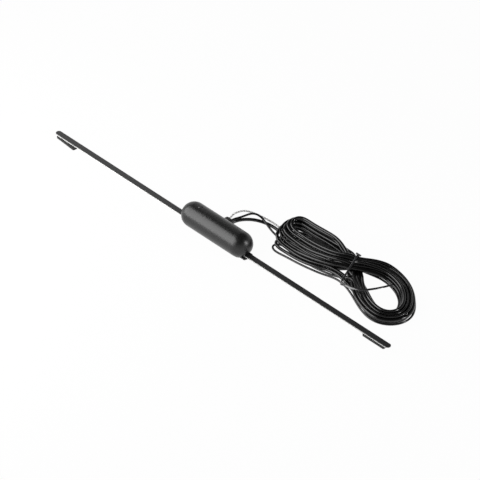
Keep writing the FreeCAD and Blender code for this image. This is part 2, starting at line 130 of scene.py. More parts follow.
def dress(finish, *names):
    """Gives CAD nodes a finish in place of their plain material."""
    for name in names:
        nodes[name].data.materials.clear()
        nodes[name].data.materials.append(finish.material)


satin_moulding = Finish("satin_moulding", (0.012, 0.012, 0.013), 0.3, {"IOR": 1.52})
skin = satin_moulding.place()
erosion = satin_moulding.noise(skin, 2600.0, 3.0)
handling = satin_moulding.noise(skin, 140.0, 2.0)
grain = satin_moulding.noise(skin, 650.0, 2.0)
skin_x, skin_y = [satin_moulding.node("ShaderNodeSeparateXYZ", {}, {"Vector": skin}, axis) for axis in "XY"]


def inside(middle_x, middle_y, radius):
    """1 inside a circle of the plan: the squared distance from its middle is below its radius squared."""
    along, across = skin_x - middle_x, skin_y - middle_y
    return along * along + across * across < radius ** 2


pit_x, pit_y, pit_radius = -19.7 * mm, 1.8 * mm, 0.62 * mm
stub_x, stub_y, stub_radius = -21.1 * mm, -0.4 * mm, 0.55 * mm
pit_painted_shade, stub_painted_highlight = inside(pit_x, pit_y, pit_radius), inside(stub_x, stub_y, stub_radius)
moulding_black = satin_moulding.mixed(handling, (0.004, 0.004, 0.004), (0.011, 0.011, 0.011))
# Painted highlight: the runner's stub is a pale grey dot mixed into the black skin.
stub_highlighted_black = satin_moulding.mixed(stub_painted_highlight, moulding_black, (0.16, 0.16, 0.16))
# Painted shade: the gate pit is painted black and made black metal, so that it shows no gloss.
satin_moulding.wear({"Roughness": 0.26 + 0.06 * erosion + 0.06 * handling,
                     "Base Color": satin_moulding.mixed(pit_painted_shade, stub_highlighted_black, (0.0, 0.0, 0.0)),
                     "Metallic": pit_painted_shade})
satin_moulding.relief(0.08 * erosion + 0.92 * grain, 0.0002, 0.5)
dress(satin_moulding, "housing_cover", "housing_base")


# Aerial strips: flexible conductors in dark grey film, sheared to a round tip and riveted to the board.
# They are rolled lengthwise, which leaves faint streaks along them.
strip_film = Finish("strip_film", (0.021, 0.021, 0.022), 0.4)
along_strip = strip_film.place()
streaks = strip_film.noise(strip_film.stretched(along_strip, (60.0, 2600.0, 2600.0)), 1.0, 3.0)
dust = strip_film.noise(along_strip, 900.0, 3.0)
strip_film.wear({"Base Color": strip_film.mixed(streaks, (0.015, 0.015, 0.015), (0.027, 0.027, 0.028)),
                 "Roughness": 0.2 + 0.08 * streaks + 0.06 * dust})
strip_film.relief(streaks, 0.00002, 0.4)
dress(strip_film, "left_strip", "right_strip")


# Tape under the strips: white foam with glue on both faces, die cut a little narrower than the strip.
# It backs each strip from the housing to the pad under its tip, and its cut edge shows the pores.
foam_tape = Finish("foam_tape", (0.80, 0.80, 0.78), 0.75)
foam_place = foam_tape.place()
pores = foam_tape.cells(foam_place, 2400.0)
foam_tape.wear({"Base Color": foam_tape.mixed(pores, (0.74, 0.74, 0.72), (0.86, 0.86, 0.85))})
foam_tape.relief(pores, 0.00008, 0.5)
dress(foam_tape, "left_strip_tape", "right_strip_tape")


# Cushion pads under the tips and the housing: black closed-cell foam with glue on both faces.
# The die pinches the cut edge, and the cells show there as fine pits.
cushion_foam = Finish("cushion_foam", (0.012, 0.012, 0.012), 0.7)
cushion_place = cushion_foam.place()
cushion_cells = cushion_foam.cells(cushion_place, 2900.0)
cushion_lint = cushion_foam.noise(cushion_place, 500.0, 4.0)
cushion_foam.wear({
    "Base Color": cushion_foam.mixed(cushion_lint, (0.009, 0.009, 0.009), (0.020, 0.020, 0.020)),
    "Roughness": 0.55 + 0.3 * cushion_cells})
cushion_foam.relief(cushion_cells, 0.0001, 0.6)
dress(cushion_foam, "left_end_pad", "right_end_pad", "base_adhesive_pad")


# Circuit board: green lacquer over glass laminate, with copper tracks that show as paler, raised bands.
# It rests on the base's posts under the cover's ribs, and the strips are riveted below it.
board_lacquer = Finish("board_lacquer", (0.02, 0.12, 0.05), 0.3, {"Coat Weight": 0.3})
board_place = board_lacquer.place()
board_tracks = board_lacquer.node("ShaderNodeTexBrick", {"offset": 0.35}, {
    "Vector": board_place, "Scale": 260.0, "Mortar Size": 0.11, "Mortar Smooth": 0.1,
    "Color1": (0, 0, 0, 1), "Color2": (0, 0, 0, 1), "Mortar": (1, 1, 1, 1)}, "Fac")
glass_weave = board_lacquer.noise(board_place, 1800.0, 2.0)
board_lacquer.wear({
    "Base Color": board_lacquer.mixed(board_tracks, (0.012, 0.085, 0.032), (0.045, 0.20, 0.075)),
    "Roughness": 0.26 + 0.14 * glass_weave})
board_lacquer.relief(board_tracks, 0.00004, 0.6)
dress(board_lacquer, "circuit_board")


# Tinned metal: the rivets through the strips, the stripped lead ends and the soldered ferrule.
# The tin is soft and dull, with fine handling scratches.
tinned_metal = Finish("tinned_metal", (0.62, 0.61, 0.58), 0.35, {"Metallic": 1.0})
tin_place = tinned_metal.place()
tin_scratches = tinned_metal.noise(tinned_metal.stretched(tin_place, (400.0, 3000.0, 3000.0)), 1.0, 3.0)
tinned_metal.wear({"Roughness": 0.25 + 0.25 * tin_scratches,
                   "Base Color": tinned_metal.mixed(tin_scratches, (0.50, 0.49, 0.46), (0.72, 0.71, 0.68))})
tinned_metal.relief(tin_scratches, 0.00002, 0.4)
dress(tinned_metal, "strip_rivets", "inner_lead_ends", "coax_ferrule")


# Ferrite cores: a ring for the transformer and a drum with two flanges for the choke.
# They are pressed from oxide and fired, which leaves them charcoal grey with a coarse grain.
fired_ferrite = Finish("fired_ferrite", (0.035, 0.034, 0.034), 0.6)
ferrite_grain = fired_ferrite.noise(fired_ferrite.place(), 3200.0, 4.0)
fired_ferrite.wear({
    "Base Color": fired_ferrite.mixed(ferrite_grain, (0.022, 0.021, 0.022), (0.060, 0.058, 0.057)),
    "Roughness": 0.45 + 0.3 * ferrite_grain})
fired_ferrite.relief(ferrite_grain, 0.00004, 0.6)
dress(fired_ferrite, "transformer_core", "choke_core")


# Windings: enamelled copper wire, round most of the transformer's ring and in the waist of the choke's drum.
# The turns lie evenly side by side, so that they show as fine ridges, and the grooves between them are
# darkened as painted shade.
enamelled_copper = Finish("enamelled_copper", (0.45, 0.17, 0.07), 0.3, {"Metallic": 1.0, "Coat Weight": 0.6})
winding_place = enamelled_copper.place()
turns_and_groove_shade = enamelled_copper.node("ShaderNodeTexWave", {"bands_direction": "Y"}, {
    "Vector": winding_place, "Scale": 900.0, "Distortion": 0.6, "Detail": 1.0}, "Fac")
# Painted shade: the wave bands darken the copper in the grooves between turns and lighten it on the crests.
enamelled_copper.wear({
    "Base Color": enamelled_copper.mixed(turns_and_groove_shade, (0.22, 0.07, 0.025), (0.62, 0.26, 0.11)),
    "Roughness": 0.22 + 0.2 * turns_and_groove_shade})
enamelled_copper.relief(turns_and_groove_shade, 0.00012, 0.8)
dress(enamelled_copper, "transformer_winding", "choke_winding")


# Electrolytic capacitor: an aluminium can that stands on the board, crimped near its foot.
# It is drawn from sheet, and its bare satin wall keeps fine upright lines from the die.
drawn_can = Finish("drawn_can", (0.70, 0.71, 0.72), 0.3, {"Metallic": 1.0})
can_lines = drawn_can.noise(drawn_can.stretched(drawn_can.place(), (4000.0, 4000.0, 150.0)), 1.0, 2.0)
drawn_can.wear({"Roughness": 0.22 + 0.22 * can_lines,
                "Base Color": drawn_can.mixed(can_lines, (0.58, 0.59, 0.60), (0.78, 0.79, 0.80))})
drawn_can.relief(can_lines, 0.00001, 0.5)
dress(drawn_can, "electrolytic_capacitor")


# Chips: transistors and resistors in black moulded epoxy, and capacitors in tan ceramic.
# They are soldered flat on the board, the transistors by three short legs.
moulded_epoxy = Finish("moulded_epoxy", (0.02, 0.02, 0.021), 0.5)
epoxy_grain = moulded_epoxy.noise(moulded_epoxy.place(), 6000.0, 3.0)
moulded_epoxy.wear({
    "Roughness": 0.4 + 0.25 * epoxy_grain,
    "Base Color": moulded_epoxy.mixed(epoxy_grain, (0.014, 0.014, 0.015), (0.03, 0.03, 0.031))})
moulded_epoxy.relief(epoxy_grain, 0.00002, 0.5)
dress(moulded_epoxy, "amplifier_transistors", "chip_resistors")

chip_ceramic = Finish("chip_ceramic", (0.42, 0.30, 0.19), 0.45)
ceramic_grain = chip_ceramic.noise(chip_ceramic.place(), 5000.0, 3.0)
chip_ceramic.wear({"Base Color": chip_ceramic.mixed(ceramic_grain, (0.34, 0.23, 0.14), (0.50, 0.37, 0.25)),
                   "Roughness": 0.35 + 0.2 * ceramic_grain})
chip_ceramic.relief(ceramic_grain, 0.00002, 0.5)
dress(chip_ceramic, "chip_capacitors")


# Strain relief: a tapered grommet of soft black PVC round the three leads.
# Its neck fills the hole in the cover's long side, and a flange behind the wall keeps it there.
grommet_rubber = Finish("grommet_rubber", (0.011, 0.011, 0.011), 0.42)
rubber_place = grommet_rubber.place()
rubber_bloom = grommet_rubber.noise(rubber_place, 700.0, 4.0)
rubber_skin = grommet_rubber.noise(rubber_place, 4200.0, 2.0)
grommet_rubber.wear({
    "Base Color": grommet_rubber.mixed(rubber_bloom, (0.008, 0.008, 0.008), (0.020, 0.020, 0.020)),
    "Roughness": 0.34 + 0.18 * rubber_bloom})
grommet_rubber.relief(rubber_skin, 0.00003, 0.4)
dress(grommet_rubber, "cable_grommet")


# Antenna plug on the coax, laid inside the left of the hank: a grooved black handle moulded over the cable's
# end, and in its shroud a nickel-plated sleeve, a white core and a plated pin.
plug_handle = Finish("plug_handle", (0.013, 0.013, 0.013), 0.38)
handle_place = plug_handle.place()
handle_skin = plug_handle.noise(handle_place, 2200.0, 3.0)
plug_handle.wear({"Roughness": 0.30 + 0.16 * handle_skin,
                  "Base Color": plug_handle.mixed(handle_skin, (0.009, 0.009, 0.009), (0.019, 0.019, 0.019))})
plug_handle.relief(handle_skin, 0.00003, 0.4)
dress(plug_handle, "plug_grip")

nickel_plate = Finish("nickel_plate", (0.66, 0.63, 0.58), 0.2, {"Metallic": 1.0})
nickel_place = nickel_plate.place()
nickel_rub = nickel_plate.noise(nickel_plate.stretched(nickel_place, (300.0, 2500.0, 2500.0)), 1.0, 3.0)
nickel_plate.wear({"Roughness": 0.14 + 0.2 * nickel_rub,
                   "Base Color": nickel_plate.mixed(nickel_rub, (0.58, 0.55, 0.50), (0.72, 0.69, 0.64))})
nickel_plate.relief(nickel_rub, 0.00001, 0.4)
dress(nickel_plate, "plug_barrel", "plug_pin")

plug_core = Finish("plug_core", (0.76, 0.75, 0.71), 0.4)
core_grain = plug_core.noise(plug_core.place(), 1500.0, 3.0)
plug_core.wear({"Base Color": plug_core.mixed(core_grain, (0.70, 0.69, 0.64), (0.80, 0.79, 0.76)),
                "Roughness": 0.32 + 0.15 * core_grain})
plug_core.relief(core_grain, 0.00002, 0.3)
dress(plug_core, "plug_insulator")


# Leads: black PVC coax, a thinner black power lead and a short earth wire in clear PVC, all from the grommet.
# The spare length is wound by hand in a figure of eight: most turns cross over the tied waist to the right
# loop's rear arm and come back under it, and some run along the front without crossing.
coax_diameter, power_diameter, ground_diameter = 2.8 * mm, 1.8 * mm, 1.5 * mm
coax_route = np.array([
    (0.0020, 0.0156, 0.0094), (0.0020, 0.0174, 0.0094), (0.0035, 0.0212, 0.0098), (0.0066, 0.0266, 0.0096),
    (0.0104, 0.0320, 0.0084), (0.0156, 0.0360, 0.0072), (0.0214, 0.0384, 0.0062), (0.0270, 0.0392, 0.0056),
    (0.0324, 0.0392, 0.0052), (0.0374, 0.0386, 0.0050)])
power_route = np.array([
    (-0.0010, 0.0156, 0.0094), (-0.0010, 0.0174, 0.0094), (0.0002, 0.0206, 0.0099), (0.0026, 0.0242, 0.0107),
    (0.0050, 0.0280, 0.0122), (0.0078, 0.0316, 0.0137), (0.0108, 0.0343, 0.0132), (0.0140, 0.0358, 0.0116),
    (0.0176, 0.0360, 0.0100), (0.0216, 0.0353, 0.0085), (0.0260, 0.0345, 0.0070), (0.0306, 0.0340, 0.0056),
    (0.0350, 0.0338, 0.0046)])
ground_route = np.array([
    (-0.0042, 0.0156, 0.0094), (-0.0042, 0.0172, 0.0094), (-0.0038, 0.0188, 0.0100),
    (-0.0034, 0.0200, 0.0112), (-0.0030, 0.0211, 0.0123), (-0.0025, 0.0226, 0.0129),
    (-0.0017, 0.0246, 0.0133), (-0.0007, 0.0275, 0.0135), (0.0009, 0.0305, 0.0131),
    (0.0028, 0.0332, 0.0122), (0.0056, 0.0360, 0.0106), (0.0106, 0.0392, 0.0086),
    (0.0164, 0.0412, 0.0073), (0.0226, 0.0421, 0.0066), (0.0284, 0.0422, 0.0060), (0.0340, 0.0418, 0.0058)])

plug_end = np.array((0.1000, 0.0486, 0.0059))
plug_heading = np.array((-50.0, -1.0, 0.0)) / math.hypot(50.0, 1.0)
plug_reach, plug_radius = (4.0 * mm, 39.0 * mm), 4.5 * mm
tie_x, tie_slant = 107.7 * mm, math.tan(math.radians(17.5))
tie_front, tie_rear, tie_under, tie_front_top, tie_rear_top = np.array((28.6, 55.3, 1.2, 6.0, 13.8)) * mm

right_loop = np.array([
    (110.5, 52.5), (118.0, 59.5), (130.0, 64.6), (145.0, 64.4), (157.8, 59.8), (169.4, 51.0),
    (176.6, 39.4), (175.6, 29.4), (167.4, 22.6), (152.2, 23.6), (138.6, 29.2), (124.0, 38.0)])
lane_share = np.array([0.45, 0.9, 1.0, 1.0, 0.95, 0.95, 1.1, 1.1, 1.05, 1.0, 0.95, 0.75])
waist_fall = np.array([0.95, 0.78, 0.5, 0.22, 0.06, 0, 0, 0, 0, 0, 0, 0])
waist_lean = np.array([0.24, 0.4, 0.4, 0.4, 0.4, 0, 0, 0, 0, 0, 0, 0])


def loop_lane(lane, level, waist):
    """Right loop in millimetres: its middle line in plan, moved outwards by the lane, at the layer's level.
    The rear arm falls from the waist's height to that level, and leans forward by a share of its rise."""
    ahead = np.gradient(right_loop, axis=0)
    ahead /= np.linalg.norm(ahead, axis=1)[:, None]
    outward = np.stack([-ahead[:, 1], ahead[:, 0]], 1)
    rise = waist_fall * (waist - level)
    plan = right_loop + outward * (lane * lane_share)[:, None] + np.outer(rise * waist_lean, (1.0, -1.0))
    return np.column_stack([plan, level + rise])


def back_loop(lane, level):
    """Right loop taken the other way round, from its front limb to its rear arm and the tie's rear."""
    waist = 9.5
    return np.vstack([loop_lane(lane, level, waist)[:-2][::-1], [(106.5, 52.4, waist)]])


rear_wall_y, rear_wall_foot, rear_wall_rise = 57.5, 2.0, 15.0
front_limb_y, front_limb_step, front_limb_foot, front_limb_rise = 24.0, 20.0, 1.8, 8.5
left_bend_x, left_bend_reach, left_bend_degrees = 44.5, 12.0, (70, 40, 10, -20, -50, -75)


def turn(rear, front, lane, level, crossed=True, reach=1.0):
    """One turn in millimetres: along the rear wall, round an elliptic and arched left bend, along the front
    limb, over the waist and round the right loop, or along the tie's front and round the loop the other way
    where it isn't crossed. rear and front run from 0, low and wide, to 1, high and narrow. A smaller reach
    makes the left bend shorter."""
    rear_y = rear_wall_y - 1.5 * abs(2 * rear - 1) - 6.0 * (1 - reach)
    rear_z = rear_wall_foot + rear_wall_rise * rear
    front_y, front_z = front_limb_y + front_limb_step * front, front_limb_foot + front_limb_rise * front
    wall_z = 0.9 * rear_z
    angle = np.radians(left_bend_degrees)
    climb = ((1 + np.sin(angle)) / 2) ** (1.6 - 1.3 * front ** 2)
    arch = 12.0 * front * (1 - front) * np.cos(angle)
    bend = np.stack([left_bend_x - reach * (left_bend_reach - 5.6 * front ** 2) * np.cos(angle),
                     (rear_y + front_y) / 2 + (rear_y - front_y) / 2 * np.sin(angle),
                     front_z + (wall_z - front_z) * climb + arch], 1)
    wall = [(93.0, 54.8, 2.0 + rear_z * (0.35 + 0.37 * rear)), (80.0, rear_y + 1.2, wall_z),
            (62.0, rear_y + 0.8, wall_z)]
    if crossed:
        waist_y, waist_z = 42.6 + 10.9 * front, 8.4 + 3.4 * front
        approach = np.array([0.0, 0.08, 0.32, 0.65, 1.0])
        limb = np.column_stack([(62.0, 78.0, 92.0, 101.0, 108.5), front_y + approach * (waist_y - front_y),
                                front_z + approach ** 0.6 * (waist_z - front_z)])
        return np.vstack([wall, bend, limb, loop_lane(lane, level, waist_z),
                          [(106.5, 50.0 - 0.4 * lane, 2.8 + 2.0 * rear)]])
    limb = [(62.0, front_y, front_z), (80.0, 27.4 + 15.0 * front, front_z),
            (97.0, 33.2 + 12.5 * front, front_z + 0.6), (113.0, 33.0 + 15.0 * front, 3.0 + 7.0 * front),
            (124.0, 31.0 + 15.0 * front, 2.4 + 5.0 * front)]
    return np.vstack([wall, bend, limb, back_loop(lane, level)])


def short_turn(lane, level):
    """The turn with a short left bend, low in front of the others, and both limbs along the tie's front."""
    bend = [(110.0, 35.5, 2.6), (97.0, 32.2, 1.6), (80.0, 29.8, 0.9), (62.0, 29.4, 0.9), (51.0, 30.8, 0.9),
            (43.2, 31.6, 0.9), (39.9, 30.2, 0.9), (38.4, 27.0, 0.9), (39.9, 23.8, 0.9), (43.2, 22.4, 0.9),
            (50.0, 22.5, 0.9), (62.0, 23.6, 0.9), (74.0, 24.8, 0.9), (92.7, 28.3, 0.9), (103.6, 31.0, 1.6),
            (113.0, 30.8, 2.1), (125.0, 28.4, 1.4)]
    return np.vstack([bend, back_loop(lane, level)])


coax_turns = np.vstack([
    [(50.0, 37.5, 4.5), (70.0, 36.5, 4.6), (87.0, 37.0, 5.0), (100.0, 40.5, 6.2), (108.5, 45.5, 8.0)],
    loop_lane(-3.0, 1.5, 8.6), [(106.5, 50.6, 2.8)], turn(0.0, 0.10, -0.2, 1.5, False, 0.6),
    turn(1.0, 1.0, 4.8, 4.3), turn(0.44, 0.64, -1.8, 4.3), turn(0.23, 0.26, 3.2, 1.5, False),
    turn(0.57, 0.74, -3.2, 6.6, reach=0.75), turn(0.79, 0.84, 1.6, 4.3),
    turn(0.34, 0.40, -5.6, 1.5, reach=0.6)[:-1], [(110.0, 45.8, 4.4), (104.8, 48.3, 5.5)], [plug_end / mm]])
power_turns = np.vstack([
    [(50.0, 33.5, 3.5), (70.0, 33.5, 3.6), (87.0, 35.0, 3.8), (100.0, 39.0, 5.0), (108.5, 44.0, 7.0)],
    loop_lane(-7.4, 0.95, 7.4), [(106.5, 51.5, 2.4)], turn(0.06, 0.56, 3.2, 6.4)[:-1], short_turn(5.7, 0.95),
    turn(0.61, 0.48, -4.6, 3.9), turn(0.16, 0.46, -0.1, 6.3, reach=0.55),
    [(93.0, 54.0, 4.0), (80.0, 54.0, 3.0), (68.0, 53.2, 1.6)],
    [(60.0, 50.6, 0.9), (53.0, 49.2, 0.9), (46.0, 49.8, 0.9)]])
ground_turns = np.array([(48.0, 42.0, 6.0), (60.0, 41.0, 5.5), (76.0, 41.0, 4.5), (90.0, 42.0, 4.0)])
turn_spacing = 2.4 * mm


def spaced(points):
    """Points one spacing apart on the smooth line through the given points: each span is a cubic whose slope
    at its ends is half the step between the neighbours."""
    span_steps = 24
    p = np.vstack([2 * points[0] - points[1], points, 2 * points[-1] - points[-2]])
    t = np.linspace(0, 1, span_steps, endpoint=False)[:, None, None]
    a, b, c, d = p[:-3], p[1:-2], p[2:-1], p[3:]
    line = 0.5 * (2 * b + (c - a) * t + (2 * a - 5 * b + 4 * c - d) * t ** 2
                  + (3 * b - a - 3 * c + d) * t ** 3)
    line = np.vstack([line.transpose(1, 0, 2).reshape(-1, 3), points[-1:]])
    run = np.concatenate([[0], np.cumsum(np.linalg.norm(np.diff(line, axis=0), axis=1))])
    place = np.linspace(0, run[-1], int(round(run[-1] / turn_spacing)) + 1)
    return np.stack([np.interp(place, run, line[:, axis]) for axis in range(3)], 1)


def eased(points):
    """The same line without its corners: each round moves a point to the middle of its neighbours and then a
    little further back, which rounds corners without drawing loops in."""
    inward, back, rounds = 0.5, -0.51, 60
    points = points.copy()
    for share in [inward, back] * rounds:
        points[1:-1] += share * ((points[:-2] + points[2:]) / 2 - points[1:-1])
    return points


def settled(lines, radii, held):
    """Leads laid on each other. Each round draws the free points to their plan, evens their bow and spacing,
    and moves apart points of different stretches that are nearer than their radii, and out of the plug, tie
    and floor. The held points lie further apart, so they count as thicker."""
    rounds, rounds_per_search, pushes, own_stretch = 300, 12, 3, 10
    spare, held_extra, search_margin, tie_half = 0.08 * mm, 0.8 * mm, 3 * mm, 2.5 * mm
    plan_share, mend_share, tiny = 0.03, 0.4, 1e-7
    sizes = [len(line) for line in lines]
    p = np.vstack(lines)
    plan = p.copy()
    lead = np.repeat(np.arange(len(lines)), sizes)
    order = np.concatenate([np.arange(size) for size in sizes])
    free = ~np.concatenate(held)
    radius = np.repeat(radii, sizes) + np.where(free, 0, held_extra)
    ends = (order == 0) | (order == np.repeat(sizes, sizes) - 1)
    inner = np.flatnonzero(free & ~ends)
    bow = (plan[inner - 1] + plan[inner + 1]) / 2 - plan[inner]
    starts = [np.arange(first, len(p) - 1, 2) for first in (0, 1)]
    links = [part[lead[part] == lead[part + 1]] for part in starts]
    rest = [np.linalg.norm(p[part + 1] - p[part], axis=1) for part in links]
    for number in range(rounds):
        if number % rounds_per_search == 0:
            square = (p * p).sum(1)
            apart = np.sqrt(np.maximum(square[:, None] + square[None] - 2 * p @ p.T, 0))
            other = (lead[:, None] != lead[None]) | (abs(order[:, None] - order[None]) > own_stretch)
            either = free[:, None] | free[None]
            close = apart < radius[:, None] + radius[None] + search_margin
            one, two = np.nonzero(np.triu(close & other & either, 1))
        p[inner] += plan_share * min(1.0, 2.5 * (1 - number / rounds)) * (plan[inner] - p[inner])
        p[inner] += mend_share * ((p[inner - 1] + p[inner + 1]) / 2 - p[inner] - bow)
        for part, length in zip(links, rest):
            step = p[part + 1] - p[part]
            now = np.linalg.norm(step, axis=1)
            pull = (mend_share * (now - length) / now)[:, None] * step
            p[part] += pull * free[part, None]
            p[part + 1] -= pull * free[part + 1, None]
        for again in range(pushes):
            gap = p[one] - p[two]
            distance = np.maximum(np.linalg.norm(gap, axis=1), tiny)
            lack = np.maximum(radius[one] + radius[two] + spare - distance, 0)
            push = gap * (mend_share * lack / distance)[:, None]
            for axis in range(3):
                move = np.bincount(one, push[:, axis], len(p)) - np.bincount(two, push[:, axis], len(p))
                p[:, axis] += np.where(free, move, 0)
            gap = p - plug_end - np.outer(np.clip((p - plug_end) @ plug_heading, *plug_reach), plug_heading)
            distance = np.maximum(np.linalg.norm(gap, axis=1), tiny)
            lack = np.where(free, np.maximum(plug_radius + radius + spare - distance, 0), 0)
            p += gap * (lack / distance)[:, None]
            from_tie = abs(p[:, 0] - tie_x - tie_slant * (tie_rear - p[:, 1]))
            tied = np.flatnonzero(free & (from_tie < tie_half))
            p[tied, 1] = np.clip(p[tied, 1], tie_front + radius[tied], tie_rear - radius[tied])
            slope = (tie_rear_top - tie_front_top) / (tie_rear - tie_front)
            top = tie_front_top + slope * (p[tied, 1] - tie_front)
            p[tied, 2] = np.clip(p[tied, 2], tie_under + radius[tied], top - radius[tied])
            p[:, 2] = np.where(free, np.maximum(p[:, 2], radius), p[:, 2])
    return np.split(p, np.cumsum(sizes)[:-1])


lines, held = [], []
for route, turns in zip((coax_route, power_route, ground_route), (coax_turns, power_turns, ground_turns)):
    wound = eased(spaced(np.vstack([route[-2:], turns * mm])))
    repeated = int(np.linalg.norm(route[-1] - route[-2]) / turn_spacing) + 1
    lines.append(np.vstack([route, wound[repeated:]]))
    held.append(np.arange(len(lines[-1])) < len(route))
coax_held = held[0]
coax_held[-2:] = True
lead_points = settled(lines, [coax_diameter / 2, power_diameter / 2, ground_diameter / 2], held)


def spline_line(name, points, steps):
    """Points read from a NURBS spline of order 3 with these control points, which starts and ends on them."""
    curve = bpy.data.curves.new(name, "CURVE")
    curve.dimensions = "3D"
    spline = curve.splines.new("NURBS")
    spline.points.add(len(points) - 1)
    spline.points.foreach_set("co", np.column_stack([points, np.ones(len(points))]).ravel())
    spline.order_u = 3
    spline.use_endpoint_u = True
    spline.resolution_u = steps
    holder = bpy.data.objects.new(name, curve)
    mesh = bpy.data.meshes.new_from_object(holder)
    line = np.empty(len(mesh.vertices) * 3)
    mesh.vertices.foreach_get("co", line)
    bpy.data.objects.remove(holder)
    bpy.data.curves.remove(curve)
    bpy.data.meshes.remove(mesh)
    return line.reshape(-1, 3)


def swept(line, width, height, sides, reference, twist=None):
    """Skin of a bar along a line: an ellipse of this width and height stands square to the line at each
    point, its width towards the cross product of line and reference, turned by the twist in radians."""
    ahead = np.gradient(line, axis=0)
    ahead /= np.linalg.norm(ahead, axis=1)[:, None]
    across = np.cross(ahead, reference)
    across /= np.linalg.norm(across, axis=1)[:, None]
    upward = np.cross(across, ahead)
    twist = np.zeros(len(line)) if twist is None else twist
    angle = 2 * np.pi * np.arange(sides) / sides
    wide, high = width / 2 * np.cos(angle), height / 2 * np.sin(angle)
    c, s = np.cos(twist)[:, None], np.sin(twist)[:, None]
    return (line[:, None] + (wide * c - high * s)[..., None] * across[:, None]
            + (wide * s + high * c)[..., None] * upward[:, None])


def solid(name, skins, finish):
    """One piece from closed bars: each skin is a grid of rings, joined ring to ring and capped at both ends.
    Its UV map runs in metres along the bar and from 0 to 1 round it."""
    points, faces, uvs, first = [], [], [], 0
    for skin_grid in skins:
        rings, sides = skin_grid.shape[:2]
        index = first + np.arange(rings * sides).reshape(rings, sides)
        beside = np.roll(index, -1, axis=1)
        quads = np.stack([index[:-1], beside[:-1], beside[1:], index[1:]], -1).reshape(-1, 4)
        middle = skin_grid.mean(axis=1)
        run = np.concatenate([[0], np.cumsum(np.linalg.norm(np.diff(middle, axis=0), axis=1))])
        u = np.repeat(run, sides).reshape(rings, sides)
        v = np.tile(np.arange(sides) / sides, (rings, 1))
        quad_u = np.stack([u[:-1], u[:-1], u[1:], u[1:]], -1)
        quad_v = np.stack([v[:-1], v[:-1] + 1 / sides, v[:-1] + 1 / sides, v[:-1]], -1)
        uvs += [np.stack([quad_u, quad_v], -1).reshape(-1, 2)]
        uvs += [np.column_stack([np.full(sides, end), v[0]]) for end in (run[0], run[-1])]
        points.append(skin_grid.reshape(-1, 3))
        faces += quads.tolist() + [index[0, ::-1].tolist(), index[-1].tolist()]
        first += rings * sides
    mesh = bpy.data.meshes.new(name)
    mesh.from_pydata(np.vstack(points), [], faces)
    mesh.shade_smooth()
    mesh.set_sharp_from_angle(angle=math.radians(50))
    mesh.uv_layers.new(name="along").uv.foreach_set("vector", np.vstack(uvs).astype(np.float32).ravel())
    mesh.materials.append(finish.material)
    piece = bpy.data.objects.new(name, mesh)
    bpy.context.scene.collection.objects.link(piece)
    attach(piece, "root")
    return piece


cable_jacket = Finish("cable_jacket", (0.004, 0.004, 0.004), 0.22)
jacket_along = cable_jacket.place("UV")
jacket_place = cable_jacket.place()
die_lines = cable_jacket.noise(cable_jacket.stretched(jacket_along, (40.0, 60.0, 1.0)), 1.0, 2.0)
jacket_bloom = cable_jacket.noise(jacket_place, 260.0, 4.0)
cable_jacket.wear({
    "Base Color": cable_jacket.mixed(jacket_bloom, (0.002, 0.002, 0.002), (0.006, 0.006, 0.006)),
    "Roughness": 0.10 + 0.06 * die_lines + 0.08 * jacket_bloom})
cable_jacket.relief(die_lines, 0.00002, 0.4)

upright = (0.0, 0.0, 1.0)
coax_line, power_line, ground_line = [
    spline_line(name, points, 2) for name, points in zip(("coax", "power", "ground"), lead_points)]
coax_lead = solid("coax_lead", [swept(coax_line, coax_diameter, coax_diameter, 14, upright)], cable_jacket)
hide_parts("coax_run", "cable_hank")

power_lead = solid("power_lead", [swept(power_line, power_diameter, power_diameter, 12, upright)],
                   cable_jacket)
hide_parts("power_lead_run")

# The earth wire's strands show through the clear PVC as helical bands. The pale bands are painted highlights
# on the strands' lay over the wire's own grey, and the same bands also set its roughness and bumps.
clear_wire = Finish("clear_wire", (0.6, 0.6, 0.6), 0.2, {"Coat Weight": 0.6})
strand_lay = clear_wire.stretched(clear_wire.place("UV"), (420.0, 1.0, 1.0))
strand_run, strand_round = [
    clear_wire.node("ShaderNodeSeparateXYZ", {}, {"Vector": strand_lay}, axis) for axis in "XY"]
strands_and_painted_glints = clear_wire.node("ShaderNodeMath", {"operation": "PINGPONG"},
                          {0: strand_run + 2.0 * strand_round, 1: 0.5})
clear_wire.wear({"Base Color": clear_wire.mixed(2.0 * strands_and_painted_glints, (0.34, 0.33, 0.32), (0.88, 0.88, 0.87)),
                 "Roughness": 0.15 + 0.3 * strands_and_painted_glints})
clear_wire.relief(strands_and_painted_glints, 0.00006, 0.5)
ground_lead = solid("ground_lead", [swept(ground_line, ground_diameter, ground_diameter, 10, upright)],
                    clear_wire)
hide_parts("ground_lead_run")


# Wire tie: a flat black plastic strip with a wire core, passed aslant round the hank and twisted on itself
# behind it. Its long end stands clear of the front strands, where its flat side glints, and crosses the loop.
tie_width, tie_thickness = 1.8 * mm, 0.45 * mm
band_y, band_z = np.array([
    (30.5, 0.8), (43.0, 0.8), (54.1, 0.8), (55.8, 2.6), (55.85, 7.0), (55.85, 12.8), (54.9, 14.6),
    (51.0, 13.0), (42.0, 10.3), (31.5, 7.2), (28.3, 5.8), (28.05, 4.2), (28.3, 1.9), (30.5, 0.8)]).T * mm
band_x = tie_x + tie_slant * (tie_rear - band_y)
band_line = spline_line("band", np.column_stack([band_x, band_y, band_z]), 10)
band_side = np.cross((1.0, tie_slant, 0.0), np.gradient(band_line, axis=0))
tail_line = spline_line("tail", np.array([
    (116.2, 28.6, 5.4), (119.7, 27.0, 6.6), (127.8, 25.1, 8.4), (132.6, 25.8, 9.4), (136.8, 27.4, 10.2),
    (140.7, 29.5, 10.8), (143.5, 32.7, 11.0), (147.1, 41.3, 10.2), (148.6, 50.3, 8.6),
    (149.0, 53.6, 8.0)]) * mm, 10)
tail_twist = np.linspace(-0.85, -0.4, len(tail_line))
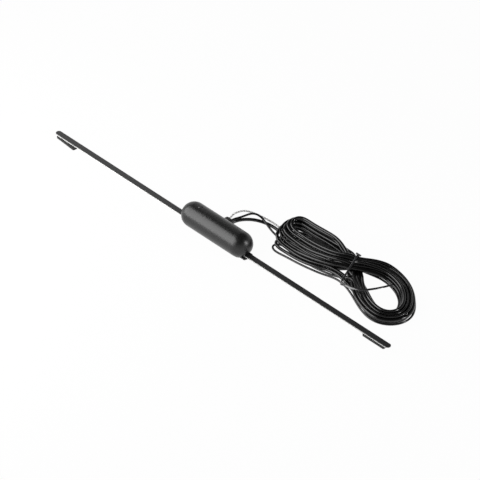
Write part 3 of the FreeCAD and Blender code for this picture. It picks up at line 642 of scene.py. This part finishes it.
knot_left, knot_right, knot_radius, knot_turns, knot_steps = 105.4 * mm, 110.2 * mm, 0.55 * mm, 2.5, 60
knot_x = np.linspace(knot_left, knot_right, knot_steps)
knot_y, knot_z = tie_rear + 0.4 * mm, tie_rear_top + 0.6 * mm
knots = []
for start in (0.0, np.pi):
    winding = np.linspace(0, 2 * np.pi * knot_turns, knot_steps) + start
    knots.append(np.column_stack([
        knot_x, knot_y + knot_radius * np.cos(winding), knot_z + knot_radius * np.sin(winding)]))

tie_plastic = Finish("tie_plastic", (0.02, 0.02, 0.021), 0.16, {"Coat Weight": 1.0})
tie_ribs = tie_plastic.noise(tie_plastic.stretched(tie_plastic.place("UV"), (300.0, 12.0, 1.0)), 1.0, 2.0)
tie_plastic.wear({"Base Color": tie_plastic.mixed(tie_ribs, (0.014, 0.014, 0.015), (0.034, 0.034, 0.036)),
                  "Roughness": 0.12 + 0.12 * tie_ribs})
tie_plastic.relief(tie_ribs, 0.00003, 0.4)
tie_skins = [swept(band_line, tie_width, tie_thickness, 12, band_side),
             swept(tail_line, tie_width, tie_thickness, 12, upright, tail_twist)]
tie_skins += [swept(knot, 1.0 * mm, 0.6 * mm, 8, (0.02, 0.03, 1.0)) for knot in knots]
wire_tie = solid("wire_tie", tie_skins, tie_plastic)
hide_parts("hank_tie")


# Floor: a sheet of matt white paper, far larger than the object.
# Seen by the camera or in a gloss it is plain white, with only a faint shadow of the object on it.
floor_size, floor_drop = 8.0, 0.1 * mm
floor_mesh = bpy.data.meshes.new("floor")
floor_corners = np.array([(-1, -1, 0), (1, -1, 0), (1, 1, 0), (-1, 1, 0)]) * floor_size / 2
floor_mesh.from_pydata(floor_corners - (0, 0, floor_drop), [], [(0, 1, 2, 3)])
floor = bpy.data.objects.new("floor", floor_mesh)
bpy.context.scene.collection.objects.link(floor)

white_sweep = Finish("white_sweep", (0.85, 0.85, 0.85), 0.9, {"Specular IOR Level": 0.0})
rays = [white_sweep.node("ShaderNodeLightPath", {}, {}, name)
        for name in ("Is Camera Ray", "Is Glossy Ray", "Is Transmission Ray")]
plain_white = white_sweep.node("ShaderNodeEmission", {}, {"Color": (1, 1, 1, 1), "Strength": 1.0})
sweep_shader = Field(white_sweep, white_sweep.shader.outputs[0])
white_share = 0.97
sweep_mix = white_sweep.node("ShaderNodeMixShader", {}, {
    0: white_share * (rays[0] + rays[1] + rays[2]), 1: sweep_shader, 2: plain_white})
white_sweep.plug(white_sweep.tree.nodes["Material Output"], {"Surface": sweep_mix})
floor_mesh.materials.append(white_sweep.material)


# Studio: a large soft box to the front left, a dim one to the left and a bright narrow one to the right.
# A pale wall stands low all round and fades upwards to a dark ceiling.


class Surroundings(Finish):
    """The world's nodes, made and linked by the same methods as a finish's."""

    def __init__(self, world):
        world.use_nodes = True
        self.tree = world.node_tree
        self.shader = self.tree.nodes["Background"]


bpy.context.scene.world = bpy.data.worlds.new("studio")
studio = Surroundings(bpy.context.scene.world)
upwards = studio.node("ShaderNodeSeparateXYZ", {}, {"Vector": studio.place("Generated")}, "Z")
pale_wall = studio.node("ShaderNodeMapRange", {}, {
    "Value": upwards, "From Min": 0.26, "From Max": 0.62, "To Min": 0.68, "To Max": 0.04})
studio.wear({"Color": (1, 1, 1, 1), "Strength": pale_wall})


def soft_box(name, place, width, height, brightness):
    """An area lamp that faces the housing: its power is the brightness of its face times its area and pi."""
    lamp = bpy.data.lights.new(name, "AREA")
    lamp.shape = "RECTANGLE"
    lamp.size, lamp.size_y = width, height
    lamp.energy = brightness * width * height * math.pi
    holder = bpy.data.objects.new(name, lamp)
    holder.location = place
    holder.rotation_euler = (Vector((0.0, 0.0, 0.01)) - Vector(place)).to_track_quat("-Z", "Y").to_euler()
    bpy.context.scene.collection.objects.link(holder)


soft_box("front_box", (-0.223, -0.254, 0.215), 0.5, 0.385, 4.0)
soft_box("left_box", (-0.47, 0.25, 0.28), 0.3, 0.3, 0.52)
soft_box("right_box", (1.0, 0.413, 0.51), 0.2, 0.45, 16.0)


# Camera: a long lens from the right, well above the strips.
# Its focal length is given in pixels of a square picture, and its distance in metres from its aim.
azimuth, elevation, distance = math.radians(46.918), math.radians(37.031), 3.0
aim = Vector((0.01443, 0.01221, 0.0))
toward = Vector((math.sin(azimuth) * math.cos(elevation), -math.cos(azimuth) * math.cos(elevation),
                 math.sin(elevation)))
camera = bpy.data.objects.new("camera", bpy.data.cameras.new("camera"))
camera.location = aim + distance * toward
camera.rotation_euler = toward.to_track_quat("Z", "Y").to_euler()
focal_pixels, picture_width = 3671.4, 480.0
camera.data.sensor_width = 36.0
camera.data.lens = camera.data.sensor_width * focal_pixels / picture_width
camera.data.clip_end = 20.0
bpy.context.scene.collection.objects.link(camera)
bpy.context.scene.camera = camera
bpy.context.scene.view_settings.view_transform = "Standard"
